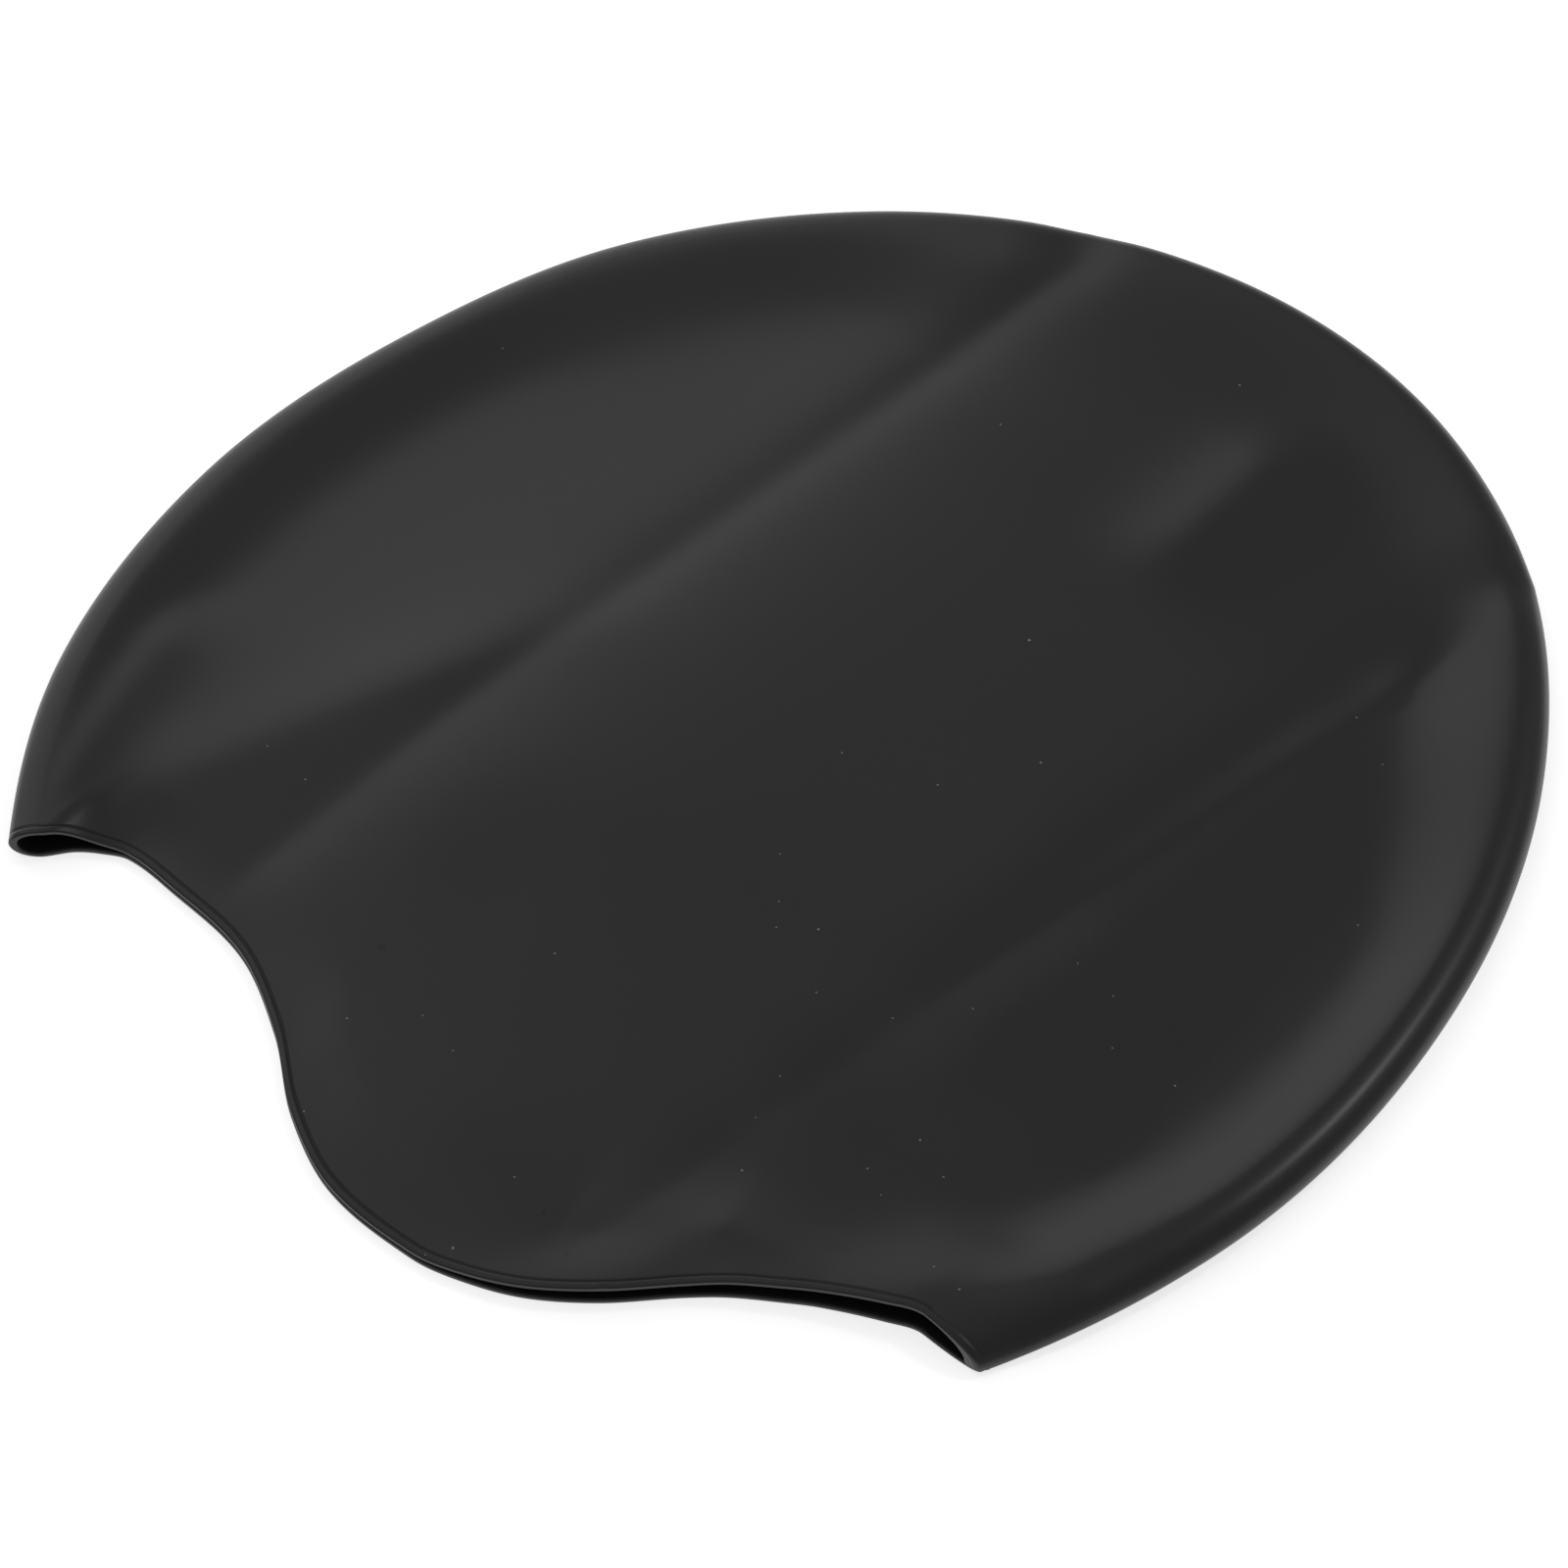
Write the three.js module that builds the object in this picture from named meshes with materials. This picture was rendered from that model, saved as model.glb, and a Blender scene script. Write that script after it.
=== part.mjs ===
// A one-piece silicone swim cap with ear lobes, lying flat on its side: two layers joined by a rounded
// fold along the crest, open along the wavy mouth. Millimetres.
// X runs from the forehead to the nape, Y from the ear lobes to the crown, Z up. The shape is worked out
// round the middle of the line through the two mouth corners, then set on the origin at the end.

import * as THREE from "three";
import { mergeVertices } from "three/addons/utils/BufferGeometryUtils.js";

// Crest outline: two half ellipses round the crown centre, cut off by the line through the mouth corners
const FRONT_REACH = 116.8;
const BACK_REACH = 109.2;
const CROWN_RISE = 133.4;
const CROWN_CENTRE = 84;
const CORNER_ANGLE = THREE.MathUtils.radToDeg(Math.asin(CROWN_CENTRE / CROWN_RISE));
const FRONT_CORNER = 180 + CORNER_ANGLE;
const BACK_CORNER = -38.9;

// Wall and lip
const WALL = 0.8;
const LIP_RAISE = 0.3;
const LIP_WIDTH = 3;
const LIP_ROUND = 0.35;

// The two storage creases, by angle round the crown centre at the crest and by place along X at the mouth
const CREASES = {
  front: { crest: 103.4, mouth: -60 },
  back: { crest: 45.1, mouth: 22 },
};

// Each crease flattens the rounded fold along the crest a little and leaves a faint corner in its outline
const CREASE_FLATTENING = 0.9;
const CREASE_KINK = 0.3;
const CREASE_SPREAD = 8;

// Along the crest, by angle round the crown centre: how far it stands out from the half ellipses, the height
// of the rounded fold and of its outermost line, how far it reaches inward, its wall at that line, and how
// wide the swell behind it is
const CREST = [
  { angle: BACK_CORNER, out: -0.5, height: 5.3, belly: 1, reach: 9.4, wall: 2.8, swell: 32 },
  { angle: -30, out: 0.15, height: 6.3, belly: 2.6, reach: 6.5, wall: 1.6, swell: 26 },
  { angle: -18, out: 0.6, height: 7, belly: 3.5, reach: 5.4, wall: 1.2, swell: 19 },
  { angle: 5, out: -0.1, height: 7, belly: 3.5, reach: 5.1, wall: 1.2, swell: 17 },
  { angle: 25, out: 0, height: 7, belly: 3.5, reach: 5, wall: 1.2, swell: 31 },
  { angle: 45.1, out: 0.5, height: 7, belly: 3.5, reach: 4.5, wall: 1.2, swell: 26 },
  { angle: 62, out: 0.25, height: 7, belly: 3.5, reach: 4, wall: 1.2, swell: 27 },
  { angle: 82, out: 0.15, height: 7, belly: 3.5, reach: 4.5, wall: 1.2, swell: 24 },
  { angle: 103.4, out: 0.4, height: 7, belly: 3.5, reach: 5, wall: 1.2, swell: 25 },
  { angle: 122, out: 0.8, height: 7, belly: 3.5, reach: 5.5, wall: 1.2, swell: 36 },
  { angle: 142, out: 1.15, height: 7, belly: 3.5, reach: 5.5, wall: 1.2, swell: 37 },
  { angle: 162, out: -0.45, height: 7, belly: 3.5, reach: 5.5, wall: 1.2, swell: 25 },
  { angle: 182, out: 0.4, height: 7, belly: 3.5, reach: 5.5, wall: 1.2, swell: 24 },
  { angle: 202, out: 0.7, height: 6.8, belly: 3.4, reach: 5, wall: 1.2, swell: 14 },
  { angle: FRONT_CORNER, out: -0.15, height: 5.7, belly: 3, reach: 4.8, wall: 1.4, swell: 10 },
];

// The back end of the crest is cut square to the mouth: turn of its inner side in degrees along the crest,
// and the degrees over which that fades
const BACK_SKEW = -2.1;
const SKEW_FADE = 12;

// Nearer to the crown centre than this share of the half ellipses, the distance to them counts as even
const LEAST_SHARE = 0.05;

// Upper layer
const PANEL_HEIGHT = 3.2;
const LEAST_HEIGHT = 2;
const RIM_BLEND = 12.5;
const SWELL_HASTE = 4;
const BEYOND_FADE = 28;

// Mouth between the corners: place along X, height of the lower edge over the corner line,
// and how far the upper layer's edge stands over the floor
const MOUTH = [
  { along: -83.2, rise: 6.3, lift: 4.2 },
  { along: -79.4, rise: 8.4, lift: 2.9 },
  { along: -75.0, rise: 9.8, lift: 2.0 },
  { along: -66.0, rise: 8.4, lift: 2.0 },
  { along: -48.3, rise: 3.8, lift: 2.0 },
  { along: -34.3, rise: -5.6, lift: 2.0 },
  { along: -23.0, rise: -16.2, lift: 2.0 },
  { along: -9.9, rise: -24.0, lift: 2.0 },
  { along: 6.7, rise: -27.0, lift: 2.15 },
  { along: 15.0, rise: -26.3, lift: 2.6 },
  { along: 24.2, rise: -23.7, lift: 3.3 },
  { along: 33.5, rise: -18.5, lift: 3.7 },
  { along: 42.5, rise: -11.4, lift: 3.6 },
  { along: 47.8, rise: -7.75, lift: 3.8 },
  { along: 54.5, rise: -4.3, lift: 3.9 },
  { along: 59.7, rise: -1.9, lift: 3.9 },
  { along: 68.3, rise: 1.0, lift: 4.4 },
];

// Folds and swells of the upper layer: a line from one place to another, the height that it adds at each
// end, how far it spreads to the front and to the back of the line, how round its top is, and the
// length over which it fades past its ends
const FOLDS = [
  { name: "front crease", fromX: -60, fromY: 0, toX: -25, toY: 202, start: -0.9, end: -0.9,
    front: 4.8, back: 3.5, round: 3.6, fade: 20 },
  { name: "back crease", fromX: 22.5, fromY: -32, toX: 77, toY: 168, start: -0.5, end: -2.6,
    front: 3.5, back: 36, round: 6, fade: 19 },
  { name: "corner swell", fromX: -91, fromY: 6, toX: -97, toY: 42, start: 3, end: 1.8,
    front: 5, back: 5, round: 5, fade: 20 },
  { name: "corner ridge", fromX: -76, fromY: 27, toX: -49, toY: 79, start: 1.3, end: 0.85,
    front: 4.5, back: 3.6, round: 11, fade: 24 },
  { name: "front swell", fromX: -61, fromY: 58, toX: -47, toY: 173, start: 1.0, end: -2.3,
    front: 27, back: 29, round: 14, fade: 32 },
  { name: "middle swell", fromX: -29, fromY: 50, toX: -34, toY: 200, start: 3.4, end: 4.1,
    front: 23, back: 44, round: 28, fade: 46 },
  { name: "crown ridge", fromX: 27, fromY: 159, toX: 29, toY: 176, start: 1.8, end: 1.9,
    front: 3.5, back: 4, round: 12, fade: 21 },
  { name: "back streak", fromX: 40, fromY: 27, toX: 63, toY: 72, start: 0.7, end: 0.9,
    front: 14, back: 4, round: 10, fade: 17 },
  { name: "back swell", fromX: 53, fromY: 54, toX: 66, toY: 125, start: 1.3, end: 1.9,
    front: 36, back: 10, round: 8, fade: 26 },
  { name: "back hollow", fromX: 81, fromY: 24, toX: 86, toY: 141, start: -1.3, end: -0.1,
    front: 19, back: 10, round: 4, fade: 30 },
  { name: "lobe dip", fromX: -19, fromY: 35, toX: 35, toY: 42, start: -0.7, end: -0.5,
    front: 6.6, back: 3.6, round: 10, fade: 21 },
  { name: "lobe swell", fromX: 21, fromY: -5.5, toX: 42, toY: -1.7, start: -0.8, end: 1.5,
    front: 6, back: 10, round: 5, fade: 26 },
];

// Mesh: rows and columns, the shares of the front and back crest that columns from the mouth take up,
// and how much closer the middle columns stand to the creases
const ROWS = 22;
const UNDERSIDE_ROWS = 3;
const ARC_STEPS = 6;
const FRONT_FAN = 0.74;
const BACK_FAN = 0.54;
const MIDDLE_DENSE = 0.5;
const COLUMN_STEPS = { frontArc: 9, frontMouth: 9, middle: 18, backMouth: 13, backArc: 10 };

const clamp = THREE.MathUtils.clamp;
const mix = THREE.MathUtils.lerp;
const ease = (t) => THREE.MathUtils.smoothstep(t, 0, 1);
const radians = THREE.MathUtils.degToRad;

// Eased value of one column of the crest table at an angle
function crestValue(angle, column) {
  let index = 0;
  while (index < CREST.length - 2 && CREST[index + 1].angle < angle) index += 1;
  const from = CREST[index];
  const to = CREST[index + 1];
  return mix(from[column], to[column], ease((angle - from.angle) / (to.angle - from.angle)));
}

// Distances along the crest from an angle to the two creases, in crease spreads
function creaseGaps(angle) {
  const arm = (radians(1) * CROWN_RISE) / CREASE_SPREAD;
  return Object.values(CREASES).map((crease) => Math.abs(angle - crease.crest) * arm);
}

// Height of the rounded fold at an angle of the crest, less where a crease runs into it
function crestHeight(angle) {
  const full = crestValue(angle, "height");
  return creaseGaps(angle).reduce((sum, gap) => sum - CREASE_FLATTENING * Math.exp(-(gap ** 2)), full);
}

// Outermost point of the crest, and the direction out of it, at an angle round the crown centre
function crest(angle) {
  const c = Math.cos(radians(angle));
  const s = Math.sin(radians(angle));
  const reach = c < 0 ? FRONT_REACH : BACK_REACH;
  const out = new THREE.Vector2(CROWN_RISE * c, reach * s).normalize();
  const kink = creaseGaps(angle).reduce((sum, gap) => sum + CREASE_KINK * Math.exp(-gap), 0);
  const point = new THREE.Vector2(reach * c, CROWN_CENTRE + CROWN_RISE * s);
  return { point: point.addScaledVector(out, crestValue(angle, "out") + kink), out };
}

// Crest angle at a share of the fold's reach inward: near its back end the fold is cut askew
function skewed(angle, inward) {
  return angle + BACK_SKEW * ease(1 - (angle - BACK_CORNER) / SKEW_FADE) * inward;
}

// Place over the floor at a share of the fold's reach inward from its outermost line
function foldPlan(angle, inward) {
  const place = skewed(angle, inward);
  const { point, out } = crest(place);
  return point.addScaledVector(out, -crestValue(place, "reach") * inward);
}

// Where the fold meets the flat of the two layers, and its height there
const shoulder = (angle) => foldPlan(angle, 1);
const foldTop = (angle) => crestHeight(skewed(angle, 1));

// A corner as the mouth's end row, which runs on level in the direction of the crest's own end
function cornerRow(angle) {
  const end = shoulder(angle);
  const run = crest(angle).point.sub(end);
  return { along: end.x, rise: end.y, lift: foldTop(angle), slopes: { rise: run.y / run.x, lift: 0 } };
}

// Mouth rows from shoulder to shoulder
const mouthRows = [cornerRow(FRONT_CORNER), ...MOUTH, cornerRow(BACK_CORNER)];
const MOUTH_FRONT = mouthRows[0].along;
const MOUTH_BACK = mouthRows[mouthRows.length - 1].along;

// Slope of one column of the mouth rows at a row
function rowSlope(index, column) {
  const { slopes } = mouthRows[index];
  if (slopes) return slopes[column];
  const before = mouthRows[index - 1];
  const after = mouthRows[index + 1];
  return (after[column] - before[column]) / (after.along - before.along);
}

// Smooth value of one column of the mouth rows at a place along X, and its slope eased from row to row
function mouthValue(x, column) {
  const place = clamp(x, MOUTH_FRONT, MOUTH_BACK);
  let index = 0;
  while (index < mouthRows.length - 2 && mouthRows[index + 1].along < place) index += 1;
  const from = mouthRows[index];
  const to = mouthRows[index + 1];
  const span = to.along - from.along;
  const t = (place - from.along) / span;
  const a = rowSlope(index, column) * span;
  const b = rowSlope(index + 1, column) * span;
  const rise = to[column] - from[column];
  const value = from[column] + t * a + t * t * (3 * rise - 2 * a - b) + t ** 3 * (a + b - 2 * rise);
  return { value, slope: mix(a, b, ease(t)) / span };
}

// Distance inward from the mouth edge, which runs on straight past the corners
function mouthDepth(x, y) {
  const edge = mouthValue(x, "rise");
  const past = x - clamp(x, MOUTH_FRONT, MOUTH_BACK);
  return (y - edge.value - edge.slope * past) / Math.hypot(1, edge.slope);
}

// Distance inward from the half ellipses, and the angle of the nearest place on them
function crestPlace(x, y) {
  const reach = x < 0 ? FRONT_REACH : BACK_REACH;
  const u = x / reach;
  const v = (y - CROWN_CENTRE) / CROWN_RISE;
  const share = Math.max(Math.hypot(u, v), LEAST_SHARE);
  const run = Math.max(Math.hypot(u / reach, v / CROWN_RISE), LEAST_SHARE / CROWN_RISE);
  const inset = ((1 - share) * share) / run;
  const nearU = u + (inset * u) / run / reach ** 2;
  const nearV = v + (inset * v) / run / CROWN_RISE ** 2;
  const angle = THREE.MathUtils.radToDeg(Math.atan2(nearV, nearU));
  return { inset, angle: angle < -90 ? angle + 360 : angle };
}

function foldHeight(fold, x, y) {
  const runX = fold.toX - fold.fromX;
  const runY = fold.toY - fold.fromY;
  const length = Math.hypot(runX, runY);
  const along = ((x - fold.fromX) * runX + (y - fold.fromY) * runY) / length;
  const across = ((x - fold.fromX) * runY - (y - fold.fromY) * runX) / length;
  const spread = across < 0 ? fold.front : fold.back;
  const profile = Math.exp(-(Math.hypot(across, fold.round) - fold.round) / spread);
  const fade = ease(1 + along / fold.fade) * ease(1 + (length - along) / fold.fade);
  return mix(fold.start, fold.end, clamp(along / length, 0, 1)) * profile * fade;
}

// Top of the upper layer over the floor, without the lip
function upperHeight(x, y) {
  const { inset, angle } = crestPlace(x, y);
  const panel = FOLDS.reduce((sum, fold) => sum + foldHeight(fold, x, y), PANEL_HEIGHT);
  const fromRim = mix(mouthValue(x, "lift").value, panel, ease(mouthDepth(x, y) / RIM_BLEND));
  const behind = inset + crestValue(angle, "out") - crestValue(angle, "reach");
  const share = clamp(behind / crestValue(angle, "swell"), 0, 1);
  const beyond = Math.max(BACK_CORNER - angle, angle - FRONT_CORNER, 0);
  const swell = (1 - share) ** SWELL_HASTE * (1 + SWELL_HASTE * share) * ease(1 - beyond / BEYOND_FADE);
  return Math.max(mix(fromRim, crestHeight(angle), swell), LEAST_HEIGHT);
}

// The lip swells the layer towards the mouth edge
function lipRaise(x, y) {
  return LIP_RAISE * (1 - ease(mouthDepth(x, y) / LIP_WIDTH));
}

// The four skins of the cap: their height at a place, and at the shoulder of the fold
const SKINS = {
  top: { at: (x, y) => upperHeight(x, y) + lipRaise(x, y), end: foldTop },
  topInside: { at: (x, y) => upperHeight(x, y) - WALL, end: (angle) => foldTop(angle) - WALL },
  bottomInside: { at: (x, y) => WALL + lipRaise(x, y) / 2, end: () => WALL },
  bottom: { at: () => 0, end: () => 0 },
};

// Columns run from the mouth or the lower crest up to the crown, so that both creases lie along one
function columnEnds() {
  const frontLift = mix(180, CREASES.front.crest, FRONT_FAN);
  const backLift = mix(0, CREASES.back.crest, BACK_FAN);
  const spans = [
    { steps: COLUMN_STEPS.frontArc, top: [180, frontLift], arc: [180, FRONT_CORNER] },
    { steps: COLUMN_STEPS.frontMouth, top: [frontLift, CREASES.front.crest],
      mouth: [MOUTH_FRONT, CREASES.front.mouth] },
    { steps: COLUMN_STEPS.middle, top: [CREASES.front.crest, CREASES.back.crest],
      mouth: [CREASES.front.mouth, CREASES.back.mouth], dense: MIDDLE_DENSE },
    { steps: COLUMN_STEPS.backMouth, top: [CREASES.back.crest, backLift],
      mouth: [CREASES.back.mouth, MOUTH_BACK] },
    { steps: COLUMN_STEPS.backArc, top: [backLift, 0], arc: [BACK_CORNER, 0] },
  ];
  const columns = [];
  for (const span of spans) {
    for (let step = 0; step <= span.steps; step += 1) {
      const isShared = step === 0 && columns.length > 0;
      if (isShared) continue;
      const even = step / span.steps;
      const t = mix(even, ease(even), span.dense ?? 0);
      const topAngle = mix(span.top[0], span.top[1], t);
      const bottomAngle = span.arc ? mix(span.arc[0], span.arc[1], t) : null;
      const mouthX = span.mouth ? mix(span.mouth[0], span.mouth[1], t) : null;
      const bottom = span.arc
        ? shoulder(bottomAngle)
        : new THREE.Vector2(mouthX, mouthValue(mouthX, "rise").value);
      columns.push({ top: shoulder(topAngle), topAngle, bottom, bottomAngle });
    }
  }
  const backCorner = columns.length - 1 - COLUMN_STEPS.backArc;
  columns[backCorner].bottom = shoulder(BACK_CORNER);
  columns[backCorner].bottomAngle = BACK_CORNER;
  return { columns, frontCorner: COLUMN_STEPS.frontArc, backCorner };
}

const { columns, frontCorner, backCorner } = columnEnds();

function skinPoint(skin, column, share) {
  const place = column.bottom.clone().lerp(column.top, share);
  const endAngle = share === 1 ? column.topAngle : share === 0 ? column.bottomAngle : null;
  const height = endAngle === null ? skin.at(place.x, place.y) : skin.end(endAngle);
  return new THREE.Vector3(place.x, place.y, height);
}

// Point of the fold at an angle of the crest; turn runs from -90 at the bottom to 90 at the top
function foldPoint(angle, turn, isInside) {
  const sideWall = isInside ? crestValue(angle, "wall") : 0;
  const flatWall = isInside ? WALL : 0;
  const share = 1 - sideWall / crestValue(angle, "reach");
  const place = foldPlan(angle, 1 - share * Math.cos(radians(turn)));
  const belly = crestValue(angle, "belly");
  const room = (turn < 0 ? belly : foldTop(angle) - belly) - flatWall;
  return new THREE.Vector3(place.x, place.y, belly + room * Math.sin(radians(turn)));
}

const corners = [];
function face(a, b, c) {
  const isFlat = a.distanceTo(b) < 1e-4 || b.distanceTo(c) < 1e-4 || c.distanceTo(a) < 1e-4;
  if (!isFlat) corners.push(a, b, c);
}
function quad(a, b, c, d) {
  face(a, b, c);
  face(a, c, d);
}

// One skin as a grid of columns and rows, closer together near the edges
function addSkin(skin, rows, facesUp) {
  const share = (row) => (1 - Math.cos((Math.PI * row) / rows)) / 2;
  const grid = columns.map((column) =>
    Array.from({ length: rows + 1 }, (_, row) => skinPoint(skin, column, row === rows ? 1 : share(row))),
  );
  for (let i = 0; i + 1 < grid.length; i += 1) {
    for (let j = 0; j < rows; j += 1) {
      const ring = [grid[i][j], grid[i + 1][j], grid[i + 1][j + 1], grid[i][j + 1]];
      quad(...(facesUp ? ring : ring.reverse()));
    }
  }
}

// The crest's stations from the front corner over the crown to the back corner
const crestAngles = [
  ...columns.slice(1, frontCorner + 1).reverse().map((column) => column.bottomAngle),
  ...columns.map((column) => column.topAngle),
  ...columns.slice(backCorner, -1).reverse().map((column) => column.bottomAngle),
];

function turnAt(step) {
  return -90 + (180 * step) / ARC_STEPS;
}

function addFold(isInside, facesOut) {
  for (let k = 0; k + 1 < crestAngles.length; k += 1) {
    for (let step = 0; step < ARC_STEPS; step += 1) {
      const ring = [
        foldPoint(crestAngles[k], turnAt(step), isInside),
        foldPoint(crestAngles[k], turnAt(step + 1), isInside),
        foldPoint(crestAngles[k + 1], turnAt(step + 1), isInside),
        foldPoint(crestAngles[k + 1], turnAt(step), isInside),
      ];
      quad(...(facesOut ? ring : ring.reverse()));
    }
  }
}

// The mouth's edge as one closed loop: upper rim, back corner, lower rim, front corner
function mouthLoop() {
  const mouthColumns = columns.slice(frontCorner, backCorner + 1);
  const rim = (outside, inside) => mouthColumns.map((column) => {
    const { slope } = mouthValue(column.bottom.x, "rise");
    const away = new THREE.Vector3(slope, -1, 0).normalize();
    return { outer: skinPoint(outside, column, 0), inner: skinPoint(inside, column, 0), away };
  });
  const corner = (angle) => {
    const run = crest(angle).point.sub(shoulder(angle)).normalize();
    const away = new THREE.Vector3(-Math.abs(run.y) * Math.sign(run.x), -Math.abs(run.x), 0);
    const between = Array.from({ length: ARC_STEPS - 1 }, (_, step) => turnAt(step + 1));
    return between.map((turn) => ({
      outer: foldPoint(angle, turn, false),
      inner: foldPoint(angle, turn, true),
      away,
    }));
  };
  return [
    ...rim(SKINS.top, SKINS.topInside),
    ...corner(BACK_CORNER).reverse(),
    ...rim(SKINS.bottom, SKINS.bottomInside).reverse(),
    ...corner(FRONT_CORNER),
  ];
}

function addLip() {
  const loop = mouthLoop();
  loop.forEach((station) => {
    station.crown = station.outer.clone().lerp(station.inner, 0.5).addScaledVector(station.away, LIP_ROUND);
  });
  loop.forEach((here, index) => {
    const next = loop[(index + 1) % loop.length];
    quad(here.outer, here.crown, next.crown, next.outer);
    quad(here.crown, here.inner, next.inner, next.crown);
  });
}

addSkin(SKINS.top, ROWS, true);
addSkin(SKINS.topInside, ROWS, false);
addSkin(SKINS.bottomInside, UNDERSIDE_ROWS, true);
addSkin(SKINS.bottom, UNDERSIDE_ROWS, false);
addFold(false, true);
addFold(true, false);
addLip();

const shell = mergeVertices(new THREE.BufferGeometry().setFromPoints(corners), 1e-3);
shell.computeBoundingBox();
const middle = shell.boundingBox.getCenter(new THREE.Vector3());
shell.translate(-middle.x, -middle.y, -shell.boundingBox.min.z);
shell.computeVertexNormals();

const silicone = new THREE.MeshStandardMaterial({ color: 0x2d2d2d, roughness: 0.55, metalness: 0 });
const cap = new THREE.Mesh(shell, silicone);
cap.name = "cap";

const swimCap = new THREE.Group();
swimCap.add(cap);

export default swimCap;
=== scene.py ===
"""A black silicone swim cap with ear lobes, lying flat on its side.

The shape is worked out in millimetres in the cap's own plan: X from the forehead to the nape, Y from
the line through the two mouth corners to the crown, Z up from the floor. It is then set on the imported
solid's place and turned to metres.
"""

import math

import bpy
import numpy as np
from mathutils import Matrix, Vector


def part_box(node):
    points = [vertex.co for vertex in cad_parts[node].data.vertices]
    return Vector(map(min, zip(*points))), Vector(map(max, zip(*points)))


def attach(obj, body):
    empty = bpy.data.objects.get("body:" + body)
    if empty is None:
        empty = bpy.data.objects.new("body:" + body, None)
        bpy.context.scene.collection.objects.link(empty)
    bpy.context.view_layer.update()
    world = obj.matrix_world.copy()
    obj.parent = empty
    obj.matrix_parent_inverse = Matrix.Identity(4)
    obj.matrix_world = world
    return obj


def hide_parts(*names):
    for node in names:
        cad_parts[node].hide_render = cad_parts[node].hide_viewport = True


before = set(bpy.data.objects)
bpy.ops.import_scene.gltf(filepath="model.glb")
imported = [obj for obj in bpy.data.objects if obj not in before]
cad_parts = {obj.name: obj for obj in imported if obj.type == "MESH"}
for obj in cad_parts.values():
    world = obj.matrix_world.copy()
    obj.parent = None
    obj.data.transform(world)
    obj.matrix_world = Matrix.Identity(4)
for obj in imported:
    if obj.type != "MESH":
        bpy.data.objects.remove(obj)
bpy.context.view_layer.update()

MM = 0.001

# Crest outline: two half ellipses round the crown centre
FRONT_REACH = 116.8
BACK_REACH = 109.2
CROWN_RISE = 133.4
CROWN_CENTRE = 84.0
CORNER_ANGLE = math.degrees(math.asin(CROWN_CENTRE / CROWN_RISE))
FRONT_CORNER = 180 + CORNER_ANGLE
BACK_CORNER = -38.9

# Wall of the two layers, and the creases that run into the crest
WALL = 0.8
CREASE_FLATTENING = 0.9
CREASE_SPREAD = 8.0
CREASE_KINK = 0.3
CREASES = {"front": {"crest": 103.4, "mouth": -60.0}, "back": {"crest": 45.1, "mouth": 22.0}}

# Lip: a bead along the mouth edge with a fine groove behind it, and a finer one round the edge
BEAD_RAISE = 0.08
BEAD_DEPTH = 0.5
BEAD_SPREAD = 0.35
GROOVE_SINK = 0.22
GROOVE_DEPTH = 1.0
GROOVE_SPREAD = 0.20
LIP_SWELL = 0.12
LIP_SPREAD = 1.2
LIP_ROUND = 0.4
LIP_FULLNESS = 0.7
LIP_GROOVE = 0.12
LIP_GROOVE_SPREAD = 0.16

# The crest by angle round the crown centre: how far it stands out from the half ellipses, the height
# of the rounded fold and of its outermost line, how far it reaches inward, its wall there, and how
# wide the swell behind it is
CREST_COLUMNS = ("angle", "out", "height", "belly", "reach", "wall", "swell")
CREST = [
    (BACK_CORNER, -0.5, 5.3, 1, 9.4, 2.8, 32),
    (-30, 0.15, 6.3, 2.6, 6.5, 1.6, 26),
    (-18, 0.6, 7, 3.5, 5.4, 1.2, 19),
    (5, -0.1, 7, 3.5, 5.1, 1.2, 17),
    (25, 0, 7, 3.5, 5, 1.2, 31),
    (45.1, 0.5, 7, 3.5, 4.5, 1.2, 26),
    (62, 0.25, 7, 3.5, 4, 1.2, 27),
    (82, 0.15, 7, 3.5, 4.5, 1.2, 24),
    (103.4, 0.4, 7, 3.5, 5, 1.2, 25),
    (122, 0.8, 7, 3.5, 5.5, 1.2, 36),
    (142, 1.15, 7, 3.5, 5.5, 1.2, 37),
    (162, -0.45, 7, 3.5, 5.5, 1.2, 25),
    (182, 0.4, 7, 3.5, 5.5, 1.2, 24),
    (202, 0.7, 6.8, 3.4, 5, 1.2, 14),
    (FRONT_CORNER, -0.15, 5.7, 3, 4.8, 1.4, 10),
]

# The back end of the crest is cut square to the mouth: turn of its inner side, and how far that fades
BACK_SKEW = -2.1
SKEW_FADE = 12.0

# Nearer to the crown centre than this share of the half ellipses, the distance to them counts as even
LEAST_SHARE = 0.05

# Upper layer: its height away from the folds and its least height, the distance over which it rises from
# the mouth edge, how fast the swell behind the crest falls, and the degrees past the corners that end it
PANEL_HEIGHT = 3.2
LEAST_HEIGHT = 2.0
RIM_BLEND = 12.5
SWELL_HASTE = 4
BEYOND_FADE = 28

# Mouth between the corners: place along X, rise over the corner line, and height of the upper edge
MOUTH_COLUMNS = ("along", "rise", "lift")
MOUTH = [
    (-83.2, 6.3, 4.2),
    (-79.4, 8.4, 2.9),
    (-75.0, 9.8, 2.0),
    (-66.0, 8.4, 2.0),
    (-48.3, 3.8, 2.0),
    (-34.3, -5.6, 2.0),
    (-23.0, -16.2, 2.0),
    (-9.9, -24.0, 2.0),
    (6.7, -27.0, 2.15),
    (15.0, -26.3, 2.6),
    (24.2, -23.7, 3.3),
    (33.5, -18.5, 3.7),
    (42.5, -11.4, 3.6),
    (47.8, -7.75, 3.8),
    (54.5, -4.3, 3.9),
    (59.7, -1.9, 3.9),
    (68.3, 1.0, 4.4),
]

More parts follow.
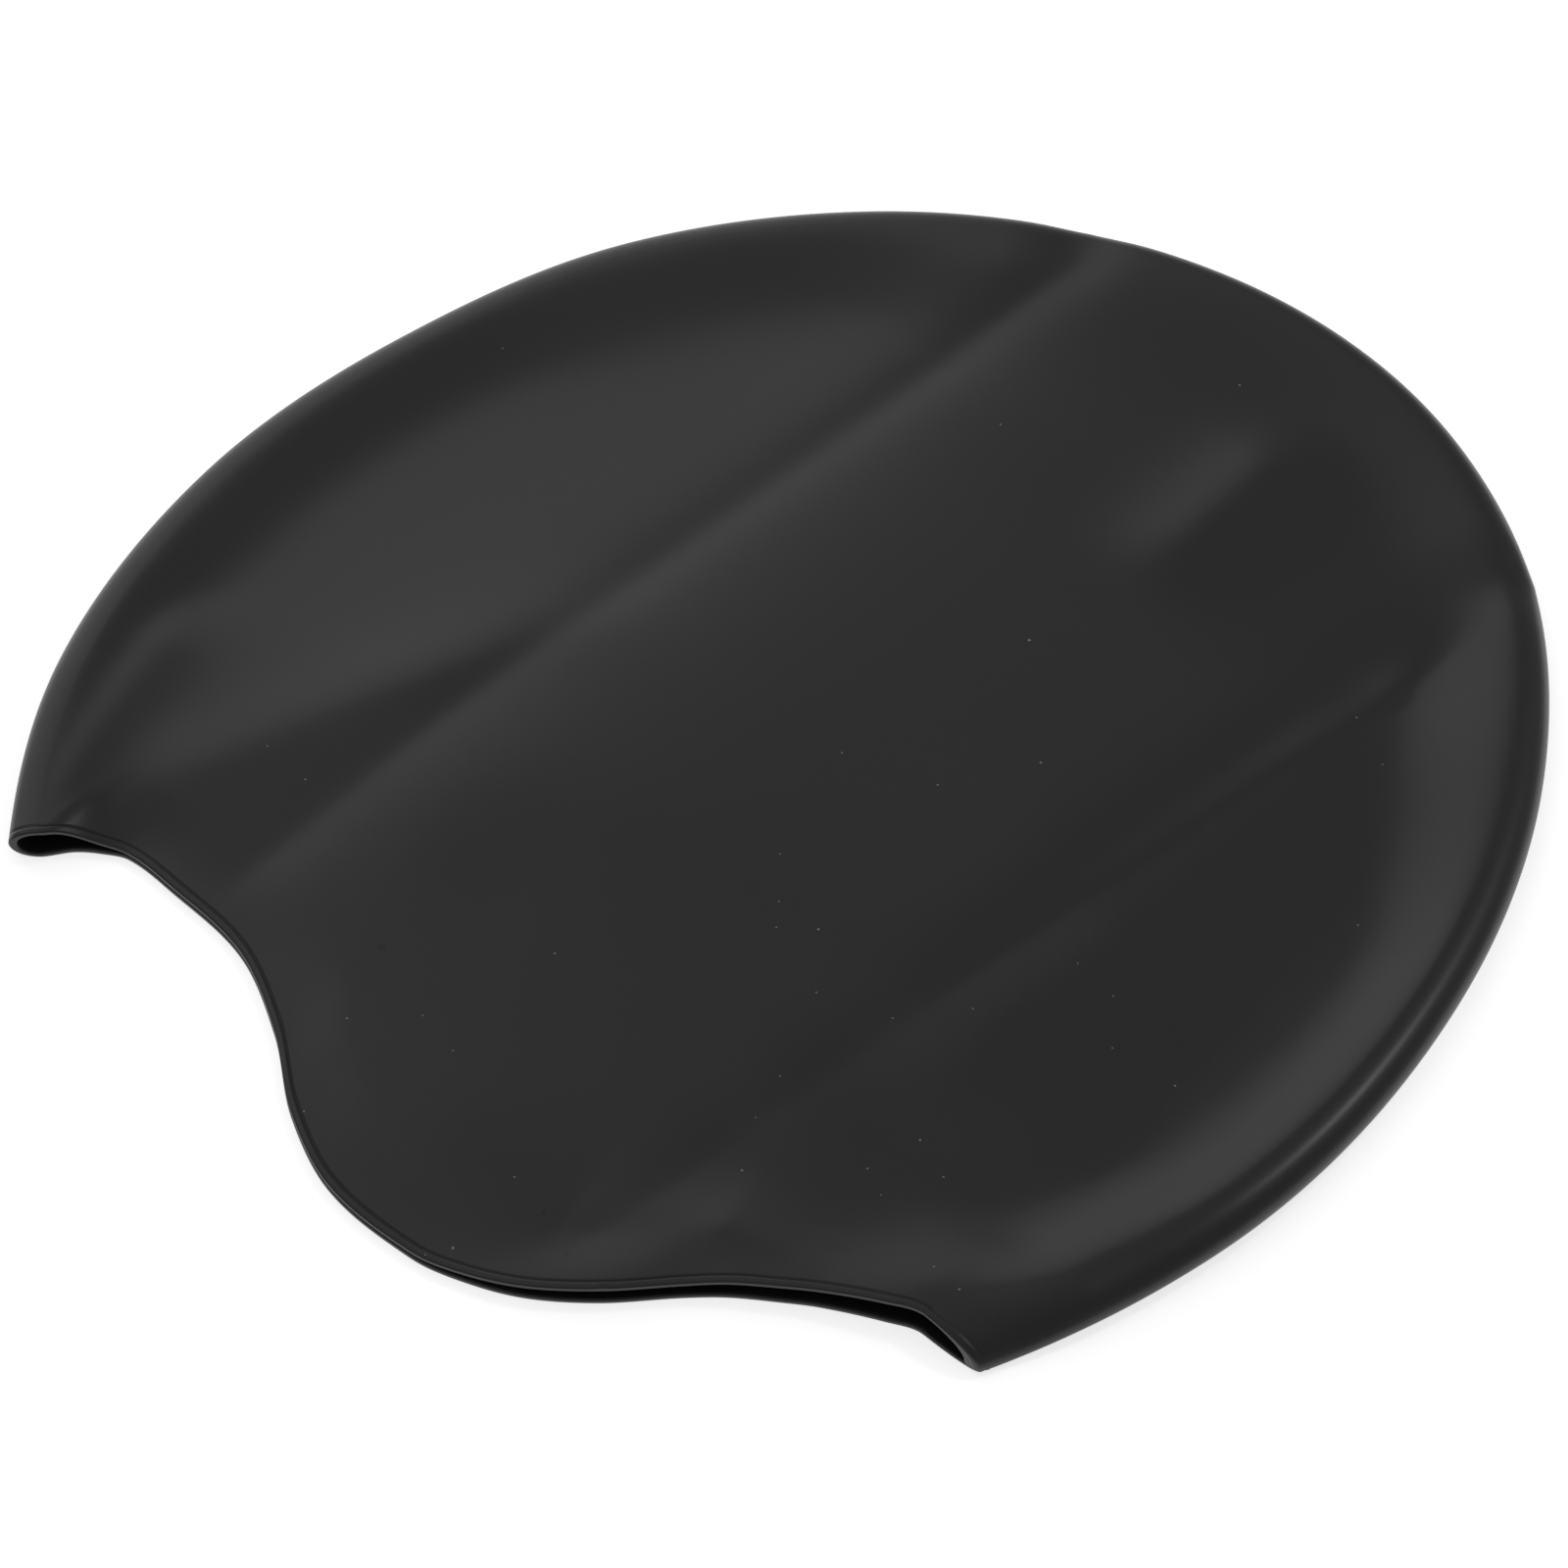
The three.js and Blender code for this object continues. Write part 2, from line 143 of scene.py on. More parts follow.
# Folds and swells: line, height added at each end, spread to its front and back, roundness, end fade
FOLD_COLUMNS = ("from_x", "from_y", "to_x", "to_y", "start", "end", "front", "back", "round", "fade")
FOLDS = {
    "front crease": (-60, 0, -25, 202, -0.9, -0.9, 4.8, 3.5, 3.6, 20),
    "back crease": (22.5, -32, 77, 168, -0.5, -2.6, 3.5, 36, 6, 19),
    "corner swell": (-91, 6, -97, 42, 3.0, 1.8, 5, 5, 5, 20),
    "corner ridge": (-76, 27, -49, 79, 1.3, 0.85, 4.5, 3.6, 11, 24),
    "front swell": (-61, 58, -47, 173, 1.0, -2.3, 27, 29, 14, 32),
    "middle swell": (-29, 50, -34, 200, 3.4, 4.1, 23, 44, 28, 46),
    "crown ridge": (27, 159, 29, 176, 1.8, 1.9, 3.5, 4, 12, 21),
    "back streak": (40, 27, 63, 72, 0.7, 0.9, 14, 4, 10, 17),
    "back swell": (53, 54, 66, 125, 1.3, 1.9, 36, 10, 8, 26),
    "back hollow": (81, 24, 86, 141, -1.3, -0.1, 19, 10, 4, 30),
    "lobe dip": (-19, 35, 35, 42, -0.7, -0.5, 6.6, 3.6, 10, 21),
    "lobe swell": (21, -5.5, 42, -1.7, -0.8, 1.5, 6, 10, 5, 26),
}

# Specks of dust and lint on the upper layer: place and half size
SPECKS = [
    (17.1, 122.1, 0.30), (14.5, 193.5, 0.24), (23.0, 52.7, 0.24), (32.6, 100.4, 0.24), (11.8, -23.8, 0.26),
    (37.9, 10.4, 0.22), (56.1, 29.3, 0.22), (22.0, 87.4, 0.20), (67.3, 138.8, 0.20), (81.4, 58.7, 0.20),
    (-26.2, 1.1, 0.20), (-7.5, 27.6, 0.20), (-13.5, 162.6, 0.20), (6.2, 84.6, 0.18), (88.5, 100.8, 0.18),
    (52.6, 20.8, 0.18), (17.5, 49.6, 0.17), (62.4, 25.7, 0.17), (29.2, 42.8, 0.17), (50.1, 53.0, 0.17),
    (65.7, 67.2, 0.17), (11.6, -8.8, 0.18), (41.0, 45.3, 0.16), (70.4, 59.2, 0.16), (-93.9, 132.2, 0.16),
    (10.0, 61.8, 0.16), (75.7, 131.8, 0.16), (58.3, 69.2, 0.15), (15.1, 53.9, 0.15), (-17.2, 7.7, 0.15),
    (-9.5, 4.8, 0.15), (33.2, 27.2, 0.15), (56.8, 17.9, 0.14), (34.2, 19.4, 0.14), (9.2, -26.8, 0.16),
    (-60.1, 34.8, 0.20), (-68.8, 36.5, 0.16), (-21.2, -15.7, 0.17), (70.8, 9.9, 0.17), (76.1, 8.1, 0.20),
]

# Small bump on the lip over the ear lobe, and darker rubbed places: place and half size
NUB = (33.5, -18.2, 0.55)
NUB_HEIGHT = 0.22
RUBS = [(-30.1, 14.8, 0.9), (25.9, -15.9, 0.5), (18.8, -11.6, 0.5), (108.5, 93.4, 0.8), (109.3, 83.5, 0.8)]

# Tones of the silicone, of the dust and of the rubbed places, and how sharp their edges are
SILICONE_TONE = (0.015, 0.015, 0.015, 1)
DUST_TONE = (0.30, 0.30, 0.30, 1)
RUB_TONE = (0.004, 0.004, 0.004, 1)
SPOT_EDGE = 2.0

# Shine of the silicone, its fine grain, and the broad bloom that changes its roughness
SILICONE_IOR = 1.41
COAT_WEIGHT = 0.3
COAT_ROUGHNESS = 0.26
GRAIN_SCALE = 1400
GRAIN_DETAIL = 3
GRAIN_STRENGTH = 0.10
GRAIN_DEPTH = 0.1
BLOOM_SCALE = 22
BLOOM_DETAIL = 4
LEAST_ROUGHNESS = 0.41
MOST_ROUGHNESS = 0.49

# Mesh fineness
COLUMN_STEPS = {"front_arc": 62, "front_mouth": 44, "middle": 104, "back_mouth": 66, "back_arc": 66}
FRONT_FAN = 0.74
BACK_FAN = 0.54
CORNER_CROWDING = 2.4
TOP_ROWS = 96
RIM_ROWS = 20
RIM_STEP = 0.09
RIM_SHARE = 0.2
INSIDE_ROWS = 44
FLAT_ROWS = 20
ARC_STEPS = 18
LIP_STEPS = 12

# Camera: the photo's viewing angle, aimed at a place on the floor
CAMERA_AIM = (-0.7, 78.8, 0.0)
CAMERA_AZIMUTH = 33.84
CAMERA_ELEVATION = 46.8
CAMERA_DISTANCE = 700.0
CAMERA_NEAR = 10.0
CAMERA_LENS = 103.3
SENSOR_WIDTH = 36

# Lights: turn and lift in degrees, distance, width and height in metres, and power in watts
LIGHTS = {
    "key": (150, 26, 1.3, 1.3, 1.1, 2.7),
    "top": (200, 70, 1.2, 1.4, 0.9, 1.15),
    "edge": (56, 52, 1.2, 0.16, 0.16, 1.1),
}
SURROUND_STRENGTH = 0.24

# Pale floor: half its side in metres, its tone and roughness, and how much it glows by itself
FLOOR_HALF = 3.0
FLOOR_TONE = (0.9, 0.9, 0.9, 1)
FLOOR_ROUGHNESS = 0.6
FLOOR_GLOW = 0.7
WHITE = (1, 1, 1, 1)


def mix(a, b, t):
    return a + (b - a) * t


def ease(t):
    t = np.clip(t, 0.0, 1.0)
    return t * t * (3.0 - 2.0 * t)


def crest_value(angle, key):
    """Eased value of one column of the crest table at an angle."""
    angles = np.array([row[0] for row in CREST])
    values = np.array([row[CREST_COLUMNS.index(key)] for row in CREST])
    i = np.clip(np.searchsorted(angles, angle) - 1, 0, len(CREST) - 2)
    return mix(values[i], values[i + 1], ease((angle - angles[i]) / (angles[i + 1] - angles[i])))


def crease_gaps(angle):
    """Distances along the crest to the two creases, in crease spreads."""
    arm = math.radians(1) * CROWN_RISE / CREASE_SPREAD
    return [np.abs(angle - crease["crest"]) * arm for crease in CREASES.values()]


def crest_height(angle):
    """Height of the rounded fold, less where a crease runs into the crest."""
    flattening = CREASE_FLATTENING * sum(np.exp(-(gap**2)) for gap in crease_gaps(angle))
    return crest_value(angle, "height") - flattening


def crest(angle):
    """Outermost points of the crest and the directions out of it."""
    angle = np.asarray(angle, float)
    c = np.cos(np.radians(angle))
    s = np.sin(np.radians(angle))
    reach = np.where(c < 0, FRONT_REACH, BACK_REACH)
    out = np.stack([CROWN_RISE * c, reach * s], -1)
    out /= np.linalg.norm(out, axis=-1, keepdims=True)
    shift = crest_value(angle, "out") + CREASE_KINK * sum(np.exp(-gap) for gap in crease_gaps(angle))
    point = np.stack([reach * c, CROWN_CENTRE + CROWN_RISE * s], -1) + out * shift[..., None]
    return point, out


def skewed(angle, inward):
    """Crest angle at a share of the fold's reach inward: near its back end the fold is cut askew."""
    return angle + BACK_SKEW * ease(1 - (angle - BACK_CORNER) / SKEW_FADE) * inward


def fold_plan(angle, inward):
    """Place over the floor at a share of the fold's reach inward from its outermost line."""
    place = skewed(angle, inward)
    point, out = crest(place)
    return point - out * (crest_value(place, "reach") * inward)[..., None]


def fold_top(angle):
    """Height of the fold's top, where the upper layer joins it."""
    return crest_height(skewed(angle, 1.0))


def shoulder(angle):
    """Where the fold meets the flat of the two layers."""
    angle = np.asarray(angle, float)
    return fold_plan(angle, np.ones_like(angle))


def mouth_rows():
    """The mouth table with the two corners added, and the slope of the rim at each row, as arrays."""
    rows = dict(zip(MOUTH_COLUMNS, np.array(MOUTH, float).T))
    ends = [shoulder(angle) for angle in (FRONT_CORNER, BACK_CORNER)]
    runs = [crest(angle)[0] - end for angle, end in zip((FRONT_CORNER, BACK_CORNER), ends)]
    corners = {
        "along": [end[0] for end in ends],
        "rise": [end[1] for end in ends],
        "lift": [fold_top(angle) for angle in (FRONT_CORNER, BACK_CORNER)],
    }
    rows = {key: np.array([corners[key][0], *rows[key], corners[key][1]]) for key in MOUTH_COLUMNS}
    for key, end_slopes in (("rise", [run[1] / run[0] for run in runs]), ("lift", [0.0, 0.0])):
        middle = (rows[key][2:] - rows[key][:-2]) / (rows["along"][2:] - rows["along"][:-2])
        rows[key + " slope"] = np.array([end_slopes[0], *middle, end_slopes[1]])
    return rows


MOUTH_ROWS = mouth_rows()
MOUTH_FRONT = MOUTH_ROWS["along"][0]
MOUTH_BACK = MOUTH_ROWS["along"][-1]


def mouth_value(x, key):
    """Smooth value of one column of the mouth rows at places along X, and its slope eased row to row."""
    along = MOUTH_ROWS["along"]
    values = MOUTH_ROWS[key]
    slopes = MOUTH_ROWS[key + " slope"]
    place = np.clip(x, MOUTH_FRONT, MOUTH_BACK)
    i = np.clip(np.searchsorted(along, place, side="left") - 1, 0, len(along) - 2)
    span = along[i + 1] - along[i]
    t = (place - along[i]) / span
    a = slopes[i] * span
    b = slopes[i + 1] * span
    rise = values[i + 1] - values[i]
    value = values[i] + t * a + t**2 * (3 * rise - 2 * a - b) + t**3 * (a + b - 2 * rise)
    return value, mix(slopes[i], slopes[i + 1], ease(t))


def mouth_depth(x, y):
    """Distance inward from the mouth edge, which runs on straight past the corners."""
    rise, slope = mouth_value(x, "rise")
    past = x - np.clip(x, MOUTH_FRONT, MOUTH_BACK)
    return (y - rise - slope * past) / np.hypot(1, slope)


def crest_place(x, y):
    """Distance inward from the half ellipses, and the angle of the nearest place on them."""
    reach = np.where(x < 0, FRONT_REACH, BACK_REACH)
    u = x / reach
    v = (y - CROWN_CENTRE) / CROWN_RISE
    share = np.maximum(np.hypot(u, v), LEAST_SHARE)
    run = np.maximum(np.hypot(u / reach, v / CROWN_RISE), LEAST_SHARE / CROWN_RISE)
    inset = (1 - share) * share / run
    angle = np.degrees(np.arctan2(v + inset * v / run / CROWN_RISE**2, u + inset * u / run / reach**2))
    return inset, np.where(angle < -90, angle + 360, angle)


def fold_height(row, x, y):
    """Height that one row of the fold table adds at a place."""
    fold = dict(zip(FOLD_COLUMNS, row))
    run = np.array([fold["to_x"] - fold["from_x"], fold["to_y"] - fold["from_y"]], float)
    length = np.hypot(*run)
    dx = x - fold["from_x"]
    dy = y - fold["from_y"]
    along = (dx * run[0] + dy * run[1]) / length
    across = (dx * run[1] - dy * run[0]) / length
    spread = np.where(across < 0, fold["front"], fold["back"])
    profile = np.exp(-(np.hypot(across, fold["round"]) - fold["round"]) / spread)
    fade = ease(1 + along / fold["fade"]) * ease(1 + (length - along) / fold["fade"])
    return mix(fold["start"], fold["end"], np.clip(along / length, 0, 1)) * profile * fade


def upper_height(x, y):
    """Top of the upper layer over the floor, without the lip."""
    inset, angle = crest_place(x, y)
    panel = PANEL_HEIGHT + sum(fold_height(row, x, y) for row in FOLDS.values())
    from_rim = mix(mouth_value(x, "lift")[0], panel, ease(mouth_depth(x, y) / RIM_BLEND))
    behind = inset + crest_value(angle, "out") - crest_value(angle, "reach")
    share = np.clip(behind / crest_value(angle, "swell"), 0, 1)
    beyond = np.maximum(np.maximum(BACK_CORNER - angle, angle - FRONT_CORNER), 0)
    swell = (1 - share) ** SWELL_HASTE * (1 + SWELL_HASTE * share) * ease(1 - beyond / BEYOND_FADE)
    return np.maximum(mix(from_rim, crest_height(angle), swell), LEAST_HEIGHT)


def nub_raise(x, y):
    """The small bump on the lip."""
    nub_x, nub_y, size = NUB
    return NUB_HEIGHT * np.exp(-((x - nub_x) ** 2 + (y - nub_y) ** 2) / size**2)


def lip_raise(depth):
    """The bead and the fine groove behind it, by distance from the mouth edge."""
    bead = BEAD_RAISE * np.exp(-(((depth - BEAD_DEPTH) / BEAD_SPREAD) ** 2))
    groove = GROOVE_SINK * np.exp(-(((depth - GROOVE_DEPTH) / GROOVE_SPREAD) ** 2))
    return bead - groove


def layer_wall(x, y):
    """Thickness of a layer, a little more at the lip."""
    return WALL + LIP_SWELL * np.exp(-((mouth_depth(x, y) / LIP_SPREAD) ** 2))


SKINS = {
    "top": (upper_height, fold_top),
    "top_inside": (lambda x, y: upper_height(x, y) - layer_wall(x, y), lambda a: fold_top(a) - WALL),
    "bottom_inside": (layer_wall, lambda a: 0 * a + WALL),
    "bottom": (lambda x, y: 0 * x, lambda a: 0 * a),
}


def column_ends():
    """Ends of the columns that run from the mouth or the lower crest up to the crown."""
    front_lift = 180 - (180 - CREASES["front"]["crest"]) * FRONT_FAN
    back_lift = CREASES["back"]["crest"] * BACK_FAN
    front_crease, back_crease = CREASES["front"], CREASES["back"]
    spans = [
        ("front_arc", (180, front_lift), (180, FRONT_CORNER), True),
        ("front_mouth", (front_lift, front_crease["crest"]), (MOUTH_FRONT, front_crease["mouth"]), False),
        ("middle", (front_crease["crest"], back_crease["crest"]),
         (front_crease["mouth"], back_crease["mouth"]), False),
        ("back_mouth", (back_crease["crest"], back_lift), (back_crease["mouth"], MOUTH_BACK), False),
        ("back_arc", (back_lift, 0), (BACK_CORNER, 0), True),
    ]
    top_angle, bottom, bottom_angle = [], [], []
    for name, top_span, bottom_span, on_crest in spans:
        steps = COLUMN_STEPS[name]
        t = np.arange(0 if not top_angle else 1, steps + 1) / steps
        close = {"front_arc": 1 - (1 - t) ** CORNER_CROWDING, "back_arc": t**CORNER_CROWDING}.get(name, t)
        low = mix(bottom_span[0], bottom_span[1], close)
        top_angle.append(mix(top_span[0], top_span[1], t))
        bottom_angle.append(low if on_crest else np.full(len(t), np.nan))
        bottom.append(shoulder(low) if on_crest else np.stack([low, mouth_value(low, "rise")[0]], -1))
    ends = {
        "top_angle": np.concatenate(top_angle),
        "bottom": np.concatenate(bottom),
        "bottom_angle": np.concatenate(bottom_angle),
    }
    ends["top"] = shoulder(ends["top_angle"])
    ends["front_corner"] = COLUMN_STEPS["front_arc"]
    ends["back_corner"] = len(ends["top"]) - 1 - COLUMN_STEPS["back_arc"]
    ends["bottom"][ends["back_corner"]] = shoulder(BACK_CORNER)
    ends["bottom_angle"][ends["back_corner"]] = BACK_CORNER
    return ends


COLUMNS = column_ends()


def skin_grid(name, rows):
    """One skin as a grid of points, columns first, closer together near the edges."""
    height_at, height_end = SKINS[name]
    low = COLUMNS["bottom"][:, None, :]
    high = COLUMNS["top"][:, None, :]
    length = np.linalg.norm(high - low, axis=-1)
    rim_rows = RIM_ROWS if name == "top" else 0
    rim = np.minimum(rim_rows * RIM_STEP / np.maximum(length, RIM_STEP), RIM_SHARE)
    close = np.arange(rim_rows)[None, :] / max(rim_rows, 1) * rim
    open_rows = (1 - np.cos(np.pi * np.arange(rows + 1) / rows)) / 2
    share = np.concatenate([close, rim + (1 - rim) * open_rows[None, :]], 1)
    place = mix(low, high, share[..., None])
    z = height_at(place[..., 0], place[..., 1])
    z[:, -1] = height_end(COLUMNS["top_angle"])
    on_crest = ~np.isnan(COLUMNS["bottom_angle"])
    z[on_crest, 0] = height_end(COLUMNS["bottom_angle"][on_crest])
    if name == "top":
        z = z + lip_raise(mouth_depth(place[..., 0], place[..., 1])) + nub_raise(place[..., 0], place[..., 1])
    return np.concatenate([place, z[..., None]], -1)


def fold_points(angle, turn, inside):
    """Points of the rounded fold; turn runs from -90 at the bottom to 90 at the top."""
    angle, turn = np.broadcast_arrays(np.asarray(angle, float), np.radians(turn))
    reach = crest_value(angle, "reach")
    side_wall = crest_value(angle, "wall") if inside else 0
    flat_wall = WALL if inside else 0
    plan = fold_plan(angle, 1 - (1 - side_wall / reach) * np.cos(turn))
    belly = crest_value(angle, "belly")
    room = np.where(turn < 0, belly, fold_top(angle) - belly) - flat_wall
    height = belly + room * np.sin(turn)
    if not inside:
        height = height + lip_raise(mouth_depth(plan[..., 0], plan[..., 1])) * (1 + np.sin(turn)) / 2
    return np.concatenate([plan, height[..., None]], -1)


def crest_stations():
    """Crest angles from the front corner over the crown to the back corner."""
    low = COLUMNS["bottom_angle"]
    front = low[1:COLUMNS["front_corner"] + 1][::-1]
    back = low[COLUMNS["back_corner"]:-1][::-1]
    return np.concatenate([front, COLUMNS["top_angle"], back])


def lip_strip():
    """The mouth's edge as one closed loop of half-round sections."""
    stations = slice(COLUMNS["front_corner"], COLUMNS["back_corner"] + 1)
    slope = mouth_value(COLUMNS["bottom"][stations, 0], "rise")[1]
    away_rim = np.stack([slope, -np.ones_like(slope), np.zeros_like(slope)], -1)
    away_rim /= np.linalg.norm(away_rim, axis=-1, keepdims=True)
    turns = np.linspace(-90, 90, ARC_STEPS + 1)[1:-1]
    edge = {name: skin_grid(name, 1)[stations, 0] for name in SKINS}

    def corner(angle):
        run = crest(angle)[0] - shoulder(angle)
        away = np.array([-abs(run[1]) * np.sign(run[0]), -abs(run[0]), 0.0]) / np.linalg.norm(run)
        outside = fold_points(angle, turns, False)
        return outside, fold_points(angle, turns, True), np.tile(away, (len(turns), 1))

    back = [part[::-1] for part in corner(BACK_CORNER)]
    front = corner(FRONT_CORNER)
    outer = np.concatenate([edge["top"], back[0], edge["bottom"][::-1], front[0]])
    inner = np.concatenate([edge["top_inside"], back[1], edge["bottom_inside"][::-1], front[1]])
    away = np.concatenate([away_rim, back[2], away_rim[::-1], front[2]])
    t = np.linspace(0, 1, LIP_STEPS + 1)
    bulge = LIP_ROUND * np.sin(np.pi * t) ** LIP_FULLNESS
    bulge -= LIP_GROOVE * np.exp(-(((t - 0.5) / LIP_GROOVE_SPREAD) ** 2))
    bulge[[0, -1]] = 0
    loop = mix(outer[:, None], inner[:, None], t[None, :, None]) + away[:, None] * bulge[None, :, None]
    return np.concatenate([loop, loop[:1]])


def grid_quads(grid, start, keep_turn):
    """Corner numbers of a grid's quads, the first axis taken before the second when keep_turn."""
    rows, cols = grid.shape[:2]
    index = start + np.arange(rows * cols).reshape(rows, cols)
    quads = np.stack([index[:-1, :-1], index[1:, :-1], index[1:, 1:], index[:-1, 1:]], -1).reshape(-1, 4)
    return quads if keep_turn else quads[:, ::-1]


def shell_mesh():
    """All skins, folds and the lip as one closed mesh."""
    turns = np.linspace(-90, 90, ARC_STEPS + 1)
    stations = crest_stations()[:, None]
    grids = [
        (skin_grid("top", TOP_ROWS), True),
        (skin_grid("top_inside", INSIDE_ROWS), False),
        (skin_grid("bottom_inside", FLAT_ROWS), True),
        (skin_grid("bottom", FLAT_ROWS), False),
        (fold_points(stations, turns[None, :], False), False),
        (fold_points(stations, turns[None, :], True), True),
        (lip_strip(), False),
    ]
    points, quads, start = [], [], 0
    for grid, keep_turn in grids:
        points.append(grid.reshape(-1, 3))
        quads.append(grid_quads(grid, start, keep_turn))
        start += grid.shape[0] * grid.shape[1]
    points = np.concatenate(points)
    quads = np.concatenate(quads)
    _, first, welded = np.unique(np.round(points, 4), axis=0, return_index=True, return_inverse=True)
    quads = welded.reshape(-1)[quads]
    faces = []
    for quad in quads.tolist():
        ring = [v for i, v in enumerate(quad) if v != quad[i - 1]]
        if len(ring) >= 3:
            faces.append(ring)
    return points[first], faces


def make_object(name, points, faces, material):
    """A smooth mesh object with one material, linked to the scene."""
    mesh = bpy.data.meshes.new(name)
    mesh.from_pydata(points.tolist(), [], faces)
    mesh.validate()
    mesh.materials.append(material)
    mesh.polygons.foreach_set("use_smooth", [True] * len(mesh.polygons))
    mesh.update()
    piece = bpy.data.objects.new(name, mesh)
    bpy.context.scene.collection.objects.link(piece)
    return piece


def add_math(nodes, links, operation, *values):
    """A math node fed by sockets or constants; returns its output."""
    node = nodes.new("ShaderNodeMath")
    node.operation = operation
    for socket, value in zip(node.inputs, values):
        if isinstance(value, bpy.types.NodeSocket):
            links.new(value, socket)
        else:
            socket.default_value = value
    return node.outputs[0]


def spot_mask(nodes, links, place, spots, shift):
    """One inside the nearest spot and zero outside, with a soft edge; spots are places and half sizes."""
    mask = 0.0
    for x, y, size in spots:
        z = float(upper_height(np.array([x]), np.array([y]))[0])
        gap = nodes.new("ShaderNodeVectorMath")
        gap.operation = "DISTANCE"
        links.new(place, gap.inputs[0])
        gap.inputs[1].default_value = (np.array([x, y, z]) + shift) * MM
        near = add_math(nodes, links, "DIVIDE", gap.outputs["Value"], -size * MM)
        mask = add_math(nodes, links, "MAXIMUM", mask, add_math(nodes, links, "ADD", near, 1.0))
    return add_math(nodes, links, "MINIMUM", add_math(nodes, links, "MULTIPLY", mask, SPOT_EDGE), 1.0)


def silicone_material(shift):
    """Black silicone with a weak sheen, fine grain, dust specks and rubbed places."""
    material = bpy.data.materials.new("silicone")
    material.use_nodes = True
    nodes = material.node_tree.nodes
    links = material.node_tree.links
    shader = nodes["Principled BSDF"]
    shader.inputs["IOR"].default_value = SILICONE_IOR
    shader.inputs["Coat Weight"].default_value = COAT_WEIGHT
    shader.inputs["Coat Roughness"].default_value = COAT_ROUGHNESS
    place = nodes.new("ShaderNodeTexCoord")
    grain = nodes.new("ShaderNodeTexNoise")
    grain.inputs["Scale"].default_value = GRAIN_SCALE
    grain.inputs["Detail"].default_value = GRAIN_DETAIL
    links.new(place.outputs["Object"], grain.inputs["Vector"])
    bump = nodes.new("ShaderNodeBump")
    bump.inputs["Strength"].default_value = GRAIN_STRENGTH
    bump.inputs["Distance"].default_value = GRAIN_DEPTH * MM
    links.new(grain.outputs["Fac"], bump.inputs["Height"])
    links.new(bump.outputs["Normal"], shader.inputs["Normal"])
    bloom = nodes.new("ShaderNodeTexNoise")
    bloom.inputs["Scale"].default_value = BLOOM_SCALE
    bloom.inputs["Detail"].default_value = BLOOM_DETAIL
    links.new(place.outputs["Object"], bloom.inputs["Vector"])
    rough = nodes.new("ShaderNodeMapRange")
    rough.inputs["To Min"].default_value = LEAST_ROUGHNESS
    rough.inputs["To Max"].default_value = MOST_ROUGHNESS
    links.new(bloom.outputs["Fac"], rough.inputs["Value"])
    links.new(rough.outputs["Result"], shader.inputs["Roughness"])
    dust = spot_mask(nodes, links, place.outputs["Object"], SPECKS, shift)
    rubbed = spot_mask(nodes, links, place.outputs["Object"], RUBS, shift)
    tone = nodes.new("ShaderNodeMixRGB")
    tone.inputs["Color1"].default_value = SILICONE_TONE
    tone.inputs["Color2"].default_value = RUB_TONE
    links.new(rubbed, tone.inputs["Fac"])
    spotted = nodes.new("ShaderNodeMixRGB")
    spotted.inputs["Color2"].default_value = DUST_TONE
    links.new(dust, spotted.inputs["Fac"])
    links.new(tone.outputs["Color"], spotted.inputs["Color1"])
    links.new(spotted.outputs["Color"], shader.inputs["Base Color"])
    return material


def plan_shift(points):
    """The step from the cap's own plan to the frame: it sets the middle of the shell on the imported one."""
    packed = np.mean(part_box("cap"), axis=0) / MM
    step = packed - (points.min(0) + points.max(0)) / 2
    return np.array([step[0], step[1], 0.0])


def make_cap(points, faces, shift):
    """The cap's shell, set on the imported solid's place."""
    cap = make_object("cap_shell", (points + shift) * MM, faces, silicone_material(shift))
    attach(cap, "root")
    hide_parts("cap")
    return cap


